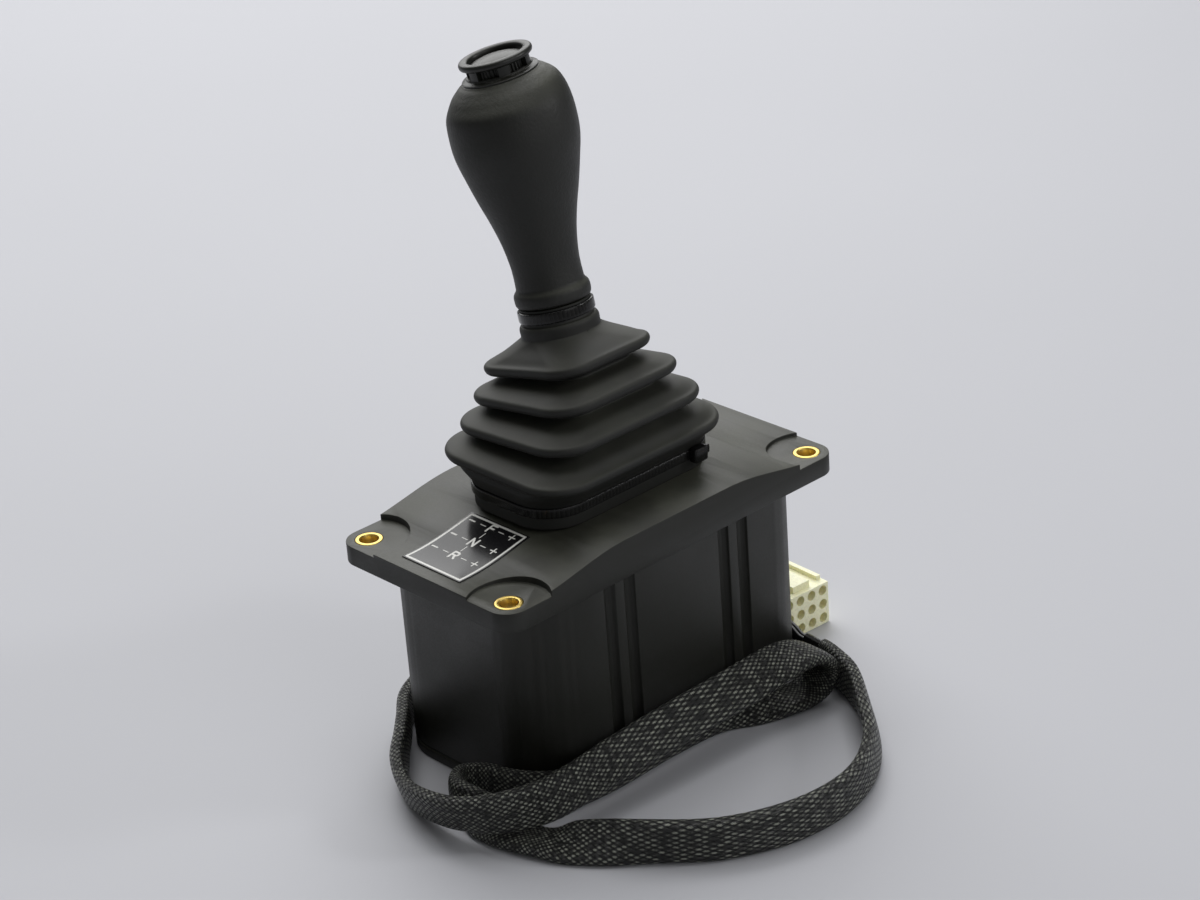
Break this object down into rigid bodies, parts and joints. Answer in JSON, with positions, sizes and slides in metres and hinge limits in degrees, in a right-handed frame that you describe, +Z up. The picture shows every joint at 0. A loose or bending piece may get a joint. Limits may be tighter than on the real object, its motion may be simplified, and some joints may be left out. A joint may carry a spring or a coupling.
{
  "type": "industrial joystick",
  "caption": "Flange-mounted cab joystick: crowned box with bolt bushings, pleated rubber boot, cranked lever with pear-shaped grip and thumb button, braided lead with plug.",
  "frame": {"origin": "centre of the four bolt bushings at the top of the flange ears", "axes": "+Z up out of the flange, +X forward along the long side (away from the label), +Y to the left"},
  "size_m": [0.1662, 0.1463, 0.204],
  "materials": {
    "housing_nylon": "fine moulded grain, satin",
    "boot_rubber": "matte moulded rubber",
    "grip_elastomer": "fine leather grain, soft satin",
    "gloss_black": "gloss black nylon",
    "label_film": "gloss film with white print",
    "brass": "turned brass",
    "zinc_steel": "zinc plated steel",
    "die_cast": "die cast",
    "magnet_nickel": "nickel plated",
    "board_green": "solder mask",
    "chip_epoxy": "moulded epoxy",
    "natural_nylon": "natural nylon",
    "braid": "open monofilament braid",
    "wire_pvc": "extruded insulation"
  },
  "bodies": {
    "box": {"housing": "housing_nylon", "bottom_cover": "housing_nylon", "cover_gasket": "boot_rubber", "cover_screws": "zinc_steel", "flange_bushings": "brass", "label": "label_film", "boot": "boot_rubber", "boot_base_tie": "gloss_black", "gimbal_bracket": "zinc_steel", "bracket_screws": "zinc_steel", "pivot_bushes": "brass", "detent_plate": "zinc_steel", "detent_screws": "zinc_steel", "circuit_board": "board_green", "board_chips": "chip_epoxy", "hall_sensors": "chip_epoxy", "board_header": "natural_nylon", "board_screws": "zinc_steel", "inner_harness": "wire_pvc", "cable_grommet": "boot_rubber", "cable_sleeve": "braid", "sleeve_end": "gloss_black", "wire_bundle": "wire_pvc", "connector_housing": "natural_nylon", "connector_contacts": "brass"},
    "yoke": {"yoke": "die_cast", "yoke_pins": "zinc_steel", "cross_pin": "zinc_steel", "pin_clips": "zinc_steel", "detent_ball": "zinc_steel", "detent_spring": "zinc_steel", "centring_springs": "zinc_steel"},
    "lever": {"lever_hub": "housing_nylon", "lever_shaft": "zinc_steel", "magnet_holder": "housing_nylon", "magnet": "magnet_nickel", "grip": "grip_elastomer", "boot_neck_tie": "gloss_black", "button_guard": "gloss_black", "button_switch": "gloss_black", "button_spring": "zinc_steel"},
    "button": {"push_button": "gloss_black"}
  },
  "joints": [
    {"name": "fore_aft", "type": "hinge", "parent": "box", "child": "yoke", "pos_m": [0, 0, -0.004], "axis": [0, 1, 0], "range_deg": [-12, 12], "deforming": ["boot"]},
    {"name": "side_tip", "type": "hinge", "parent": "yoke", "child": "lever", "pos_m": [0, 0, -0.004], "axis": [1, 0, 0], "range_deg": [-8, 8], "stiffness_Nm_per_rad": 5, "springref_deg": 0.17, "deforming": ["boot", "centring_springs"]},
    {"name": "button_press", "type": "slide", "parent": "lever", "child": "button", "axis": [0.1218, -0.1891, -0.9744], "range_m": [0, 0.0018], "stiffness_N_per_m": 300, "springref_m": -0.004, "deforming": ["button_spring"]}
  ]
}
